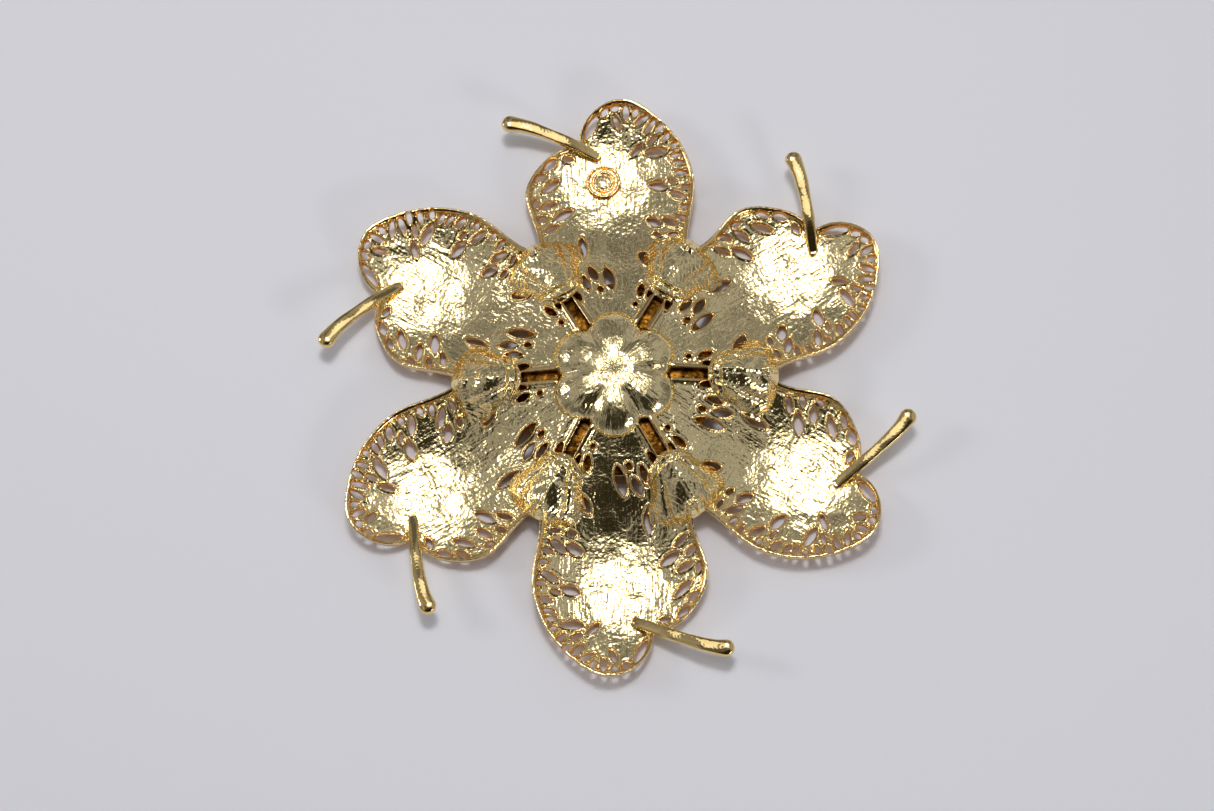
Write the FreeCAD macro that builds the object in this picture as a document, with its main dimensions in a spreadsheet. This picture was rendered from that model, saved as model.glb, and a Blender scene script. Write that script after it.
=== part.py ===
"""Six-leaf open-work brooch of gilt brass, with a bar pin and a roll-over safety catch.

Frame: millimetres, +Z up. The origin lies on the flower's axis, on the plane the six leaf
bellies rest on. leaf_1 points along +Y and the leaves are numbered clockwise from above.
"""
import FreeCAD, Part
import math
import os
import re

import Sketcher
from FreeCAD import Placement, Rotation, Vector

LEAF_COUNT = 6
SECTOR = 360.0 / LEAF_COUNT
NOMINAL_REACH = 46.4        # reach at which the outline and slit tables below are drawn
SKY = 16.0                  # height that clears the whole brooch, for cutting tools
FLOOR = -1.0                # height that lies below the whole brooch
QUARTER = math.radians(90)

# Driving dimensions: alias, value, what it is.
SIZES = [
    ("leaf_reach", 46.4, "flower axis to the tip of a leaf's long lobe"),
    ("belly_reach", 32.0, "flower axis to the lowest point of a leaf's bowl"),
    ("belly_side", 1.0, "sideways shift of the bowl, counter-clockwise"),
    ("belly_flat", 3.0, "radius of the flat under the bowl"),
    ("cup_radius", 22.0, "radius of the bowl's curve, under side"),
    ("neck_slope", 26.0, "slope of the neck, degrees"),
    ("neck_height", 5.5, "height of the necks' under side at the hub"),
    ("sheet_wall", 0.9, "thickness of a leaf"),
    ("rim_width", 0.8, "width of the raised rim round a leaf"),
    ("rim_proud", 0.45, "height of the rim above the leaf"),
    ("hub_hole", 4.0, "flower axis to the inner end of a neck"),
    ("slot_end", 15.0, "flower axis to the outer end of the slot between necks"),
    ("slot_half", 0.8, "half the width of that slot"),
    ("seam_gap", 0.05, "half the joint line between necks"),
    ("hub_wall", 0.9, "thickness of the hub plate"),
    ("hub_margin", 0.3, "hub plate edge to where the necks bend down"),
    ("dome_spread", 5.6, "flower axis to the centre of a dome lobe"),
    ("lobe_radius", 4.6, "base radius of a dome lobe"),
    ("lobe_rise", 2.6, "height of a dome lobe"),
    ("crown_radius", 7.6, "base radius of the dome's crown"),
    ("crown_rise", 3.5, "height of the dome's crown"),
    ("cavity_radius", 6.2, "base radius of the hollow under the dome"),
    ("cavity_rise", 2.1, "height of the hollow under the dome"),
    ("post_radius", 1.5, "shank radius of the centre post"),
    ("post_head", 2.3, "head radius of the centre post"),
    ("head_rise", 0.6, "head thickness of the centre post"),
    ("post_short", 0.15, "centre post's top to the crown of the hollow"),
    ("bridge_start", 14.6, "flower axis to the inner edge of a bridge"),
    ("bridge_length", 9.0, "length of a bridge along the joint"),
    ("bridge_narrow", 4.5, "half width of a bridge at its inner edge"),
    ("bridge_wide", 5.9, "half width of a bridge at its outer edge"),
    ("bridge_rise", 2.1, "arch height of a bridge above the joint"),
    ("stem_scale", 1.0, "thickness factor of the stems"),
    ("badge_radius", 2.8, "radius of the round pad on leaf_1"),
    ("badge_reach", 33.5, "flower axis to the pad's centre"),
    ("badge_side", 1.5, "sideways place of the pad"),
    ("badge_base", 0.45, "thickness of the pad's field"),
    ("badge_ring", 0.35, "height of the pad's ring above its field"),
    ("badge_lip", 0.55, "width of the pad's ring"),
    ("pin_offset", 4.5, "pin line above the flower's middle"),
    ("bar_half", 12.4, "half the length of the bar"),
    ("bar_width", 3.4, "width of the bar"),
    ("bar_wall", 0.7, "thickness of the bar"),
    ("rivet_place", 5.0, "bar middle to each bar rivet"),
    ("rivet_radius", 0.6, "shank radius of a bar rivet"),
    ("rivet_head", 1.1, "head radius of a bar rivet"),
    ("rivet_rise", 0.4, "head thickness of a bar rivet"),
    ("hinge_place", 10.7, "bar middle to the hinge axis"),
    ("catch_place", 10.4, "bar middle to the catch's middle"),
    ("pin_drop", 1.8, "bar's under side to the pin line"),
    ("pin_radius", 0.45, "radius of the pin stem"),
    ("tip_length", 2.6, "length of the pin's point"),
    ("tip_past", 3.6, "catch's middle to the pin's tip"),
    ("knuckle_radius", 1.05, "radius of the pin's knuckle"),
    ("knuckle_width", 1.4, "width of the pin's knuckle"),
    ("axle_radius", 0.45, "radius of the hinge rivet"),
    ("running_fit", 0.05, "radial play in the hinge and the catch"),
    ("side_play", 0.1, "play at each side of the knuckle"),
    ("ear_wall", 0.6, "thickness of a hinge ear"),
    ("ear_radius", 1.2, "rounding of a hinge ear"),
    ("ear_base", 0.45, "thickness of the hinge bracket's base"),
    ("catch_length", 2.4, "length of the catch body"),
    ("catch_radius", 1.55, "outer radius of the catch body"),
    ("rotor_radius", 1.0, "radius of the catch's rotor"),
    ("slot_play", 0.09, "play each side of the pin in the catch's slot"),
    ("flange_radius", 1.4, "radius of the rotor's end discs"),
    ("flange_wall", 0.4, "thickness of the rotor's end discs"),
    ("lever_reach", 2.0, "pin line to the end of the rotor's lever"),
    ("lever_width", 0.8, "width of the rotor's lever"),
]

# Slits through a leaf, as (reach, side, length, width, turn): centre along and across the
# leaf, counter-clockwise positive, then the size of the eye and the turn of its long axis.
SLITS = [
    # long lobe, along its edge from the notch over the tip and down the clockwise side
    (42.5, 3.3, 4.4, 1.2, -27), (44.7, 1.1, 1.7, 0.9, -35), (45.2, -0.6, 1.4, 1.0, -80),
    (43.1, -0.8, 2.5, 0.8, 23), (44.5, -2.3, 2.5, 0.9, 3), (44.4, -3.8, 1.5, 0.9, -20),
    (43.2, -4.8, 3.1, 0.8, -61), (42.1, -6.1, 3.0, 0.9, -40), (41.7, -7.7, 1.9, 0.8, -53),
    (40.0, -6.4, 2.2, 0.8, -52), (40.2, -8.6, 2.1, 0.8, -42), (38.8, -9.9, 1.5, 0.8, -60),
    (37.2, -10.1, 2.0, 0.8, -90), (36.0, -10.5, 2.2, 0.7, -105), (34.2, -10.9, 2.3, 1.0, -110),
    (31.7, -11.6, 1.5, 0.8, -90), (28.4, -11.4, 1.5, 0.8, -90), (26.7, -10.7, 1.9, 0.8, -110),
    # long lobe, inner eyes
    (38.7, -3.9, 2.9, 0.9, -46), (38.1, -7.0, 3.8, 1.3, -90), (32.6, -7.3, 3.2, 1.4, -105),
    (33.0, -9.4, 1.7, 0.6, -112), (30.6, -10.3, 3.2, 1.0, -120), (26.0, -9.0, 3.2, 1.1, -130),
    (26.4, -6.5, 2.8, 1.4, -125), (24.0, -6.9, 1.6, 0.7, -110), (23.7, -9.4, 2.2, 0.6, -95),
    # short lobe
    (37.4, 7.1, 1.9, 0.9, 90), (36.3, 9.9, 2.5, 1.2, 135), (34.0, 11.5, 2.3, 0.9, 132),
    (32.8, 9.9, 3.8, 1.1, 133), (29.6, 12.3, 1.9, 0.7, 170), (29.4, 10.3, 3.2, 1.0, 117),
    (28.0, 8.0, 3.7, 1.4, 124), (27.0, 11.2, 2.0, 0.9, 130), (25.4, 9.7, 2.9, 0.9, 130),
    # neck
    (22.0, 4.9, 4.2, 1.4, 2), (19.5, -5.3, 3.9, 1.8, 39), (17.2, 3.2, 3.1, 1.2, 28),
    (16.3, 0.7, 4.6, 1.5, 15), (15.5, 4.3, 3.1, 1.0, 20), (14.3, 2.0, 1.3, 0.8, 20),
    (13.2, 5.7, 2.7, 1.0, 36), (13.8, -4.3, 2.5, 1.0, -8), (13.5, -5.9, 2.7, 0.8, -31),
    (11.3, -3.4, 0.9, 0.7, 0),
]

# Lobe outlines as (reach, side) points, each from the joint with a neighbour to the notch.
LONG_LOBE = [(24.5, -11.9), (31.0, -13.0), (38.0, -11.4), (43.3, -7.3), (46.4, -1.3),
             (43.8, 3.8)]
SHORT_LOBE = [(25.2, 12.3), (31.0, 13.8), (36.0, 11.5), (38.8, 8.2)]
NOTCH = (39.4, 5.3)
LOBES = ((1, LONG_LOBE), (-1, SHORT_LOBE))      # +1 is the leaf's clockwise side
JOINT_REACH = 23.7          # where neighbouring leaves part, along the joint line

# Centre line and radius of a stem as (reach, side, height, radius), root to club end.
STEM = [(37.7, 2.5, 1.75, 0.78), (39.3, 6.2, 3.05, 0.92), (41.0, 10.4, 4.0, 0.98),
        (42.1, 14.0, 4.5, 1.15), (42.5, 16.1, 4.6, 1.35)]

doc = FreeCAD.newDocument("brooch")
sheet = doc.addObject("Spreadsheet::Sheet", "sizes")
for row, (alias, value, meaning) in enumerate(SIZES, start=1):
    sheet.set("A%d" % row, meaning)
    sheet.set("B%d" % row, str(value))
    sheet.setAlias("B%d" % row, alias)
doc.recompute()

parts = []


# ---------------------------------------------------------------- helpers
def value_of(expression):
    """An expression in the sheet's aliases, as a number."""
    return float(sheet.evalExpression(str(expression)))


def bind(obj, prop, expression):
    """Bind a property to an expression in the sheet's aliases."""
    obj.setExpression(prop, re.sub(r"([a-z]+_[a-z]+)", r"sizes.\1", str(expression)))


def keep(obj, label):
    """Name a finished sub-part and list it for export."""
    obj.Label = label
    parts.append(obj)
    return obj


def feature(kind, name, **settings):
    """Add a document object and set its properties."""
    obj = doc.addObject(kind, name)
    for prop, value in settings.items():
        setattr(obj, prop, value)
    return obj


def turned_copy(source, name, degrees):
    """A copy of a finished piece, turned about the flower's axis."""
    body = doc.addObject("PartDesign::Body", name)
    clone = body.newObject("PartDesign::FeatureBase", name + "_copy")
    clone.BaseFeature = source
    body.Tip = clone
    body.Placement = Placement(Vector(0, 0, 0), Rotation(Vector(0, 0, 1), degrees))
    return body


def keep_ring(source, family):
    """Keep the first piece of a ring and five copies, clockwise from it."""
    keep(source, family + "_1")
    for index in range(1, LEAF_COUNT):
        name = "%s_%d" % (family, index + 1)
        keep(turned_copy(source, name, -SECTOR * index), name)


def plane_of(body, role):
    """One of a body's own origin planes."""
    return [item for item in body.Origin.OriginFeatures if item.Role == role][0]


def body_sketch(body, name, role="XY_Plane"):
    """A sketch on one of a body's own origin planes."""
    sketch = body.newObject("Sketcher::SketchObject", name)
    sketch.AttachmentSupport = (plane_of(body, role), [""])
    sketch.MapMode = "FlatFace"
    return sketch


def bound_corner(sketch, edge, across, up):
    """Hold the start of an edge at two expressions, measured from the origin."""
    for kind, expression in (("DistanceX", across), ("DistanceY", up)):
        index = sketch.addConstraint(
            Sketcher.Constraint(kind, -1, 1, edge, 1, value_of(expression)))
        bind(sketch, "Constraints[%d]" % index, expression)


def draw_polygon(sketch, corners):
    """A closed polygon whose corners are pairs of expressions."""
    points = [Vector(value_of(across), value_of(up), 0) for across, up in corners]
    first, count = len(sketch.Geometry), len(points)
    for i in range(count):
        sketch.addGeometry(Part.LineSegment(points[i], points[(i + 1) % count]), False)
    for i in range(count):
        after = first + (i + 1) % count
        sketch.addConstraint(Sketcher.Constraint("Coincident", first + i, 2, after, 1))
    for i, (across, up) in enumerate(corners):
        bound_corner(sketch, first + i, across, up)


def draw_circle(sketch, across, up, radius):
    """A circle whose centre and radius are expressions."""
    centre = Vector(value_of(across), value_of(up), 0)
    edge = sketch.addGeometry(Part.Circle(centre, Vector(0, 0, 1), value_of(radius)), False)
    for kind, expression in (("DistanceX", across), ("DistanceY", up)):
        index = sketch.addConstraint(
            Sketcher.Constraint(kind, -1, 1, edge, 3, value_of(expression)))
        bind(sketch, "Constraints[%d]" % index, expression)
    index = sketch.addConstraint(Sketcher.Constraint("Radius", edge, value_of(radius)))
    bind(sketch, "Constraints[%d]" % index, radius)


def turned_body(label, corners):
    """A body of revolution about its own Z axis, from (radius, height) corners."""
    body = doc.addObject("PartDesign::Body", label)
    sketch = body_sketch(body, label + "_section", "XZ_Plane")
    draw_polygon(sketch, corners)
    turn = body.newObject("PartDesign::Revolution", label + "_turn")
    turn.Profile = sketch
    turn.ReferenceAxis = (sketch, ["V_Axis"])
    turn.Angle = 360.0
    body.Tip = turn
    return body


def pad(body, sketch, name, length, midplane=False, reverse=False):
    """Pad a sketch by an expression."""
    result = body.newObject("PartDesign::Pad", name)
    result.Profile = sketch
    result.Midplane = midplane
    result.Reversed = reverse
    bind(result, "Length", length)
    body.Tip = result
    return result


def pocket_through(body, sketch, name):
    """Cut a sketch right through a body, both ways, and make sure that it cut."""
    doc.recompute()
    before = body.Shape.Volume
    cut = body.newObject("PartDesign::Pocket", name)
    cut.Profile = sketch
    cut.Type = "ThroughAll"
    cut.Midplane = True
    body.Tip = cut
    doc.recompute()
    if not body.Shape.Volume < before:
        raise RuntimeError(name + " cut nothing")


def place(obj, **coordinates):
    """Bind an object's place to expressions, by axis."""
    for axis, expression in coordinates.items():
        bind(obj, "Placement.Base." + axis, expression)


def leaf_vector(reach, side, height=0.0):
    """Leaf coordinates to the document's, for leaf_1 along +Y."""
    return Vector(-side, reach, height)


# Derived heights and places, each from the driving dimensions.
NECK_TOP = "(neck_height + sheet_wall)"
HUB_UNDER = "(neck_height - hub_wall)"
BAR_UNDER = "(neck_height - hub_wall - bar_wall)"
PIN_LINE = "(neck_height - hub_wall - bar_wall - pin_drop)"
CURVE_RUN = "(belly_flat + cup_radius * sin(neck_slope))"
CURVE_TOP = "(cup_radius * (1 - cos(neck_slope)))"
BEND = "(%s + (neck_height - %s) / tan(neck_slope))" % (CURVE_RUN, CURVE_TOP)
HUB_RADIUS = "(belly_reach - %s - hub_margin)" % BEND
scale = value_of("leaf_reach") / NOMINAL_REACH


# ---------------------------------------------------------------- leaves
def bowl_curve(sketch, lift):
    """One curve of the leaf's section: flat belly, round bowl, sloping neck, level end.

    lift is the height above the under side. Returns the first and last edge.
    """
    centre = Vector(value_of("belly_flat"), value_of("cup_radius"), 0)
    radius = value_of("cup_radius - (%s)" % lift)
    slope = math.radians(value_of("neck_slope"))
    level = value_of("neck_height + (%s)" % lift)
    low = Vector(centre.x, centre.y - radius, 0)
    foot = centre + Vector(math.sin(slope), -math.cos(slope), 0) * radius
    bend = Vector(foot.x + (level - foot.y) / math.tan(slope), level, 0)
    end = Vector(value_of("belly_reach - hub_hole / 2"), level, 0)
    arc = Part.ArcOfCircle(Part.Circle(centre, Vector(0, 0, 1), radius), -QUARTER, slope - QUARTER)
    belly = sketch.addGeometry(Part.LineSegment(Vector(0, low.y, 0), low), False)
    bowl = sketch.addGeometry(arc, False)
    neck = sketch.addGeometry(Part.LineSegment(foot, bend), False)
    top = sketch.addGeometry(Part.LineSegment(bend, end), False)
    sketch.addConstraint([
        Sketcher.Constraint("Horizontal", belly),
        Sketcher.Constraint("Horizontal", top),
        Sketcher.Constraint("PointOnObject", belly, 1, -2),
        Sketcher.Constraint("Tangent", belly, 2, bowl, 1),
        Sketcher.Constraint("Tangent", bowl, 2, neck, 1),
        Sketcher.Constraint("Coincident", neck, 2, top, 1),
    ])
    sizes = [
        (Sketcher.Constraint("DistanceX", -1, 1, bowl, 3, centre.x), "belly_flat"),
        (Sketcher.Constraint("DistanceY", -1, 1, bowl, 3, centre.y), "cup_radius"),
        (Sketcher.Constraint("Radius", bowl, radius), "cup_radius - (%s)" % lift),
        (Sketcher.Constraint("DistanceY", -1, 1, top, 2, level), "neck_height + (%s)" % lift),
        (Sketcher.Constraint("DistanceX", -1, 1, top, 2, end.x), "belly_reach - hub_hole / 2"),
        (Sketcher.Constraint("Angle", -1, neck, slope), "neck_slope * 1 deg"),
    ]
    for constraint, expression in sizes:
        bind(sketch, "Constraints[%d]" % sketch.addConstraint(constraint), expression)
    return belly, top


def level_edge(sketch, height):
    """A level line at a height, from the bowl's axis to past the neck's end."""
    end = value_of("belly_reach - hub_hole / 2")
    edge = sketch.addGeometry(Part.LineSegment(Vector(0, height, 0), Vector(end, height, 0)), False)
    sketch.addConstraint(Sketcher.Constraint("Horizontal", edge))
    sketch.addConstraint(Sketcher.Constraint("PointOnObject", edge, 1, -2))
    sketch.addConstraint(Sketcher.Constraint("DistanceY", -1, 1, edge, 1, height))
    return edge, edge


def bowl_solid(name, lower, upper):
    """The solid between two bowl curves, turned about the bowl's own upright axis.

    lower and upper are lifts above the under side; None is a flat floor or a flat lid.
    """
    sketch = doc.addObject("Sketcher::SketchObject", name + "_section")
    below = bowl_curve(sketch, lower) if lower is not None else level_edge(sketch, FLOOR)
    above = bowl_curve(sketch, upper) if upper is not None else level_edge(sketch, SKY)
    for under, over, vertex in ((below[0], above[0], 1), (below[1], above[1], 2)):
        points = (sketch.getPoint(under, vertex), sketch.getPoint(over, vertex))
        wall = sketch.addGeometry(Part.LineSegment(*points), False)
        sketch.addConstraint(Sketcher.Constraint("Coincident", wall, 1, under, vertex))
        sketch.addConstraint(Sketcher.Constraint("Coincident", wall, 2, over, vertex))
    sketch.Placement = Placement(Vector(0, 0, 0), Rotation(Vector(1, 0, 0), 90))
    place(sketch, x="-belly_side", y="belly_reach")
    solid = feature("Part::Revolution", name, Source=sketch, Axis=Vector(0, 0, 1),
                    Angle=360.0, Solid=True)
    bind(solid, "Base.x", "-belly_side")
    bind(solid, "Base.y", "belly_reach")
    return solid


def joint_point(along, inset, side):
    """A point beside a leaf's joint line: distance out, inset into the leaf, +1 clockwise."""
    half = math.radians(SECTOR / 2)
    return Vector(side * (along * math.sin(half) - inset * math.cos(half)),
                  along * math.cos(half) + inset * math.sin(half), 0)


def part_way(side):
    """Where a leaf's lobe starts, on the joint line."""
    return joint_point(JOINT_REACH * scale, value_of("seam_gap"), side)


def lobe_curve(side, lobe):
    """The edge of a lobe, from the joint line round to the notch."""
    curve = Part.BSplineCurve()
    middle = [leaf_vector(*point) * scale for point in lobe]
    curve.interpolate([part_way(side)] + middle + [leaf_vector(*NOTCH) * scale])
    return curve


def rim_band(name, side, lobe):
    """Plan of the raised rim along a lobe, a little wider than the leaf on the outside.

    It runs on past the notch by its own width, so that the two rims of a leaf cross there.
    """
    sketch = doc.addObject("Sketcher::SketchObject", name)
    curve = lobe_curve(side, lobe)
    first, last = curve.FirstParameter, curve.LastParameter
    steps = 3 * len(lobe)
    rails = []
    for inset in (value_of("rim_width"), -0.6):
        points = []
        for i in range(steps + 1):
            spot = first + (last - first) * i / steps
            tangent = curve.tangent(spot)[0]
            inward = Vector(-tangent.y, tangent.x, 0) * side
            points.append(curve.value(spot) + inward * inset)
        points.append(points[-1] + tangent * value_of("rim_width"))
        rail = Part.BSplineCurve()
        rail.interpolate(points)
        rails.append(rail)
        sketch.addGeometry(rail, False)
    sketch.addGeometry(Part.LineSegment(rails[0].StartPoint, rails[1].StartPoint), False)
    sketch.addGeometry(Part.LineSegment(rails[0].EndPoint, rails[1].EndPoint), False)
    return sketch


def leaf_outline(name):
    """Plan of a leaf: wedge neck with half a slot at each side, and two unequal lobes."""
    sketch = doc.addObject("Sketcher::SketchObject", name)
    half = math.radians(SECTOR / 2)
    slot, seam, slot_end = value_of("slot_half"), value_of("seam_gap"), value_of("slot_end")
    inner = (value_of("hub_hole") - slot * math.sin(half)) / math.cos(half)
    edges = []
    for side, lobe in LOBES:
        start = joint_point(inner, slot, side)
        bend = joint_point(slot_end - slot, slot, side)
        middle = joint_point(slot_end - slot * (1 - math.sin(half * 1.5)),
                             seam + (slot - seam) * math.cos(half * 1.5), side)
        close = joint_point(slot_end, seam, side)
        edges += [Part.LineSegment(start, bend), Part.Arc(bend, middle, close),
                  Part.LineSegment(close, part_way(side)), lobe_curve(side, lobe)]
    edges.append(Part.LineSegment(joint_point(inner, slot, 1), joint_point(inner, slot, -1)))
    for edge in edges:
        sketch.addGeometry(edge, False)
    return sketch


def eye_sketch(name):
    """All the slits of a leaf, each an eye of two arcs that meet in points."""
    sketch = doc.addObject("Sketcher::SketchObject", name)
    for reach, side, length, width, turn in SLITS:
        angle = math.radians(turn)
        centre = leaf_vector(reach, side) * scale
        along = leaf_vector(math.cos(angle), math.sin(angle)) * (length * scale / 2)
        across = leaf_vector(-math.sin(angle), math.cos(angle)) * (width * scale / 2)
        for bulge in (1, -1):
            sketch.addGeometry(
                Part.Arc(centre - along, centre + across * bulge, centre + along), False)
    return sketch


def prism(name, sketch):
    """A plan drawing as an upright solid taller than the brooch."""
    return feature("Part::Extrusion", name, Base=sketch, DirMode="Custom",
                   Dir=Vector(0, 0, 1), LengthFwd=SKY, LengthRev=-FLOOR, Solid=True)


def make_leaf():
    """leaf_1 and its blank: the blank is the leaf before its slits are cut."""
    sheet_metal = bowl_solid("leaf_sheet", "0", "sheet_wall + rim_proud")
    above = bowl_solid("above_sheet", "sheet_wall", None)
    outline = leaf_outline("leaf_outline")
    whole = feature("Part::Common", "leaf_plan", Base=sheet_metal,
                    Tool=prism("outline_prism", outline))
    bands = [prism("rim_prism_%d" % i, rim_band("rim_band_%d" % i, side, lobe))
             for i, (side, lobe) in enumerate(LOBES)]
    dish = feature("Part::Cut", "leaf_dish", Base=above, Tool=bands[0])
    dish = feature("Part::Cut", "leaf_dish_open", Base=dish, Tool=bands[1])
    blank = feature("Part::Cut", "leaf_blank", Base=whole, Tool=dish)
    leaf = feature("Part::Cut", "leaf_one", Base=blank, Tool=prism("slits", eye_sketch("eyes")))
    return leaf, blank


# ---------------------------------------------------------------- stems and bridges
def make_stem(blank):
    """A round rod from the notch over the rim, with a club end, seated on the leaf."""
    path = [(leaf_vector(reach, side) * scale + Vector(0, 0, height), radius)
            for reach, side, height, radius in STEM]
    rings = []
    for i, (point, radius) in enumerate(path):
        ahead = path[min(i + 1, len(path) - 1)][0] - path[max(i - 1, 0)][0]
        ring = feature("Part::Circle", "stem_ring_%d" % i)
        bind(ring, "Radius", "%r * stem_scale" % radius)
        ring.Placement = Placement(point, Rotation(Vector(0, 0, 1), ahead))
        rings.append(ring)
    rod = feature("Part::Loft", "stem_rod", Sections=rings, Solid=True)
    ends = []
    for label, (point, radius) in (("stem_root", path[0]), ("stem_club", path[-1])):
        ball = feature("Part::Sphere", label)
        bind(ball, "Radius", "%r * stem_scale" % radius)
        ball.Placement.Base = point
        ends.append(ball)
    whole = feature("Part::MultiFuse", "stem_whole", Shapes=[rod] + ends)
    return feature("Part::Cut", "stem_one", Base=whole, Tool=blank)


def arch_sketch(name, half_width, distance):
    """The section of a bridge across the joint, standing at a distance along the joint."""
    sketch = doc.addObject("Sketcher::SketchObject", name)
    half, rise = value_of(half_width), value_of("bridge_rise")
    skirt = 3.0             # reaches below the joint, to be trimmed to the leaves
    foot, heel = Vector(half, -skirt, 0), Vector(-half, -skirt, 0)
    left, right = Vector(-half, 0, 0), Vector(half, 0, 0)
    sketch.addGeometry(Part.Arc(left, Vector(0, rise, 0), right), False)
    for a, b in ((right, foot), (foot, heel), (heel, left)):
        sketch.addGeometry(Part.LineSegment(a, b), False)
    sketch.Placement = Placement(Vector(0, distance, 0), Rotation(Vector(1, 0, 0), 90))
    return sketch


def leaf_seat():
    """All that lies under leaf_1's upper face, as far as the joints with its neighbours."""
    sketch = doc.addObject("Sketcher::SketchObject", "sector_plan")
    far = value_of("leaf_reach")
    lap = -0.02             # laps a little over each joint, so that no web is left in it
    corners = [joint_point(0, lap, 1), joint_point(far, lap, 1), joint_point(far, lap, -1),
               joint_point(0, lap, -1)]
    for i, corner in enumerate(corners):
        sketch.addGeometry(Part.LineSegment(corner, corners[(i + 1) % len(corners)]), False)
    return feature("Part::Common", "leaf_seat", Base=bowl_solid("under_leaf", None, "sheet_wall"),
                   Tool=prism("sector_prism", sketch))


def make_bridge():
    """An arched pad over the joint clockwise of leaf_1, trimmed to both leaves."""
    start, length = value_of("bridge_start"), value_of("bridge_length")
    near = arch_sketch("bridge_near", "bridge_narrow", 0.0)
    far = arch_sketch("bridge_far", "bridge_wide", length)
    strap = feature("Part::Loft", "bridge_strap", Sections=[near, far], Solid=True, Ruled=True)
    half = math.radians(SECTOR / 2)
    run = math.hypot(value_of("belly_reach") - (start + length) * math.cos(half),
                     (start + length) * math.sin(half))
    drop = (value_of(BEND) - run) * math.tan(math.radians(value_of("neck_slope")))
    pitch = -math.degrees(math.atan2(drop, length))
    turn = Rotation(Vector(0, 0, 1), -SECTOR / 2).multiply(Rotation(Vector(1, 0, 0), pitch))
    foot = Vector(start * math.sin(half), start * math.cos(half), value_of(NECK_TOP))
    for section in (near, far):
        section.Placement = Placement(foot, turn).multiply(section.Placement)
    seat = leaf_seat()
    once = feature("Part::Cut", "bridge_half_trim", Base=strap, Tool=seat)
    return feature("Part::Cut", "bridge_one", Base=once,
                   Tool=turned_copy(seat, "next_leaf_seat", -SECTOR))


# ---------------------------------------------------------------- centre
def cap(name, radius, rise, base, out="0", bearing=0.0):
    """The top of a ball: base radius, rise, base height, and its place round the axis."""
    ball = "((%s)^2 + (%s)^2) / (2 * (%s))" % (radius, rise, rise)
    result = feature("Part::Sphere", name, Angle2=90.0)
    bind(result, "Radius", ball)
    bind(result, "Angle1", "asin((%s - (%s)) / (%s))" % (ball, rise, ball))
    place(result, x="%s * sin(%r)" % (out, bearing), y="%s * cos(%r)" % (out, bearing),
          z="%s + (%s) - (%s)" % (base, rise, ball))
    return result


def make_dome():
    """Six cushion lobes round a low crown, hollow below."""
    crown = cap("dome_crown", "crown_radius", "crown_rise", NECK_TOP)
    lobes = [cap("dome_lobe_%d" % (i + 1), "lobe_radius", "lobe_rise", NECK_TOP,
                 "dome_spread", SECTOR * i) for i in range(LEAF_COUNT)]
    whole = feature("Part::MultiFuse", "dome_whole", Shapes=[crown] + lobes, Refine=True)
    cavity = cap("dome_cavity", "cavity_radius", "cavity_rise", NECK_TOP)
    return feature("Part::Cut", "dome", Base=whole, Tool=cavity)


def make_hub_plate():
    """Round plate under the necks, with holes for the post and the bar rivets."""
    body = doc.addObject("PartDesign::Body", "hub_plate")
    disc = body_sketch(body, "hub_disc")
    draw_circle(disc, "0", "0", HUB_RADIUS)
    pad(body, disc, "hub_pad", "hub_wall")
    holes = body_sketch(body, "hub_holes")
    draw_circle(holes, "0", "0", "post_radius")
    draw_circle(holes, "-rivet_place", "pin_offset", "rivet_radius")
    draw_circle(holes, "rivet_place", "pin_offset", "rivet_radius")
    pocket_through(body, holes, "hub_cut")
    place(body, z=HUB_UNDER)
    return body


def make_post():
    """Centre post: a riveted head under the hub plate, a shank up into the dome."""
    ceiling = "%s + cavity_rise" % NECK_TOP
    return turned_body("centre_post", [
        ("0", HUB_UNDER + " - head_rise"), ("post_head", HUB_UNDER + " - head_rise"),
        ("post_head", HUB_UNDER), ("post_radius", HUB_UNDER),
        ("post_radius", ceiling + " - post_short - 0.15"),
        ("post_radius - 0.15", ceiling + " - post_short"), ("0", ceiling + " - post_short")])


def make_badge(blank):
    """Bare round pad with a raised ring, seated in the middle of leaf_1's bowl."""
    body = turned_body("badge_pad", [
        ("0", "0"), ("badge_radius", "0"), ("badge_radius", "badge_base + badge_ring - 0.15"),
        ("badge_radius - 0.15", "badge_base + badge_ring"),
        ("badge_radius - badge_lip", "badge_base + badge_ring"),
        ("badge_radius - badge_lip", "badge_base"), ("0", "badge_base")])
    place(body, x="-badge_side", y="badge_reach", z="sheet_wall")
    return feature("Part::Cut", "badge", Base=body, Tool=blank)


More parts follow.
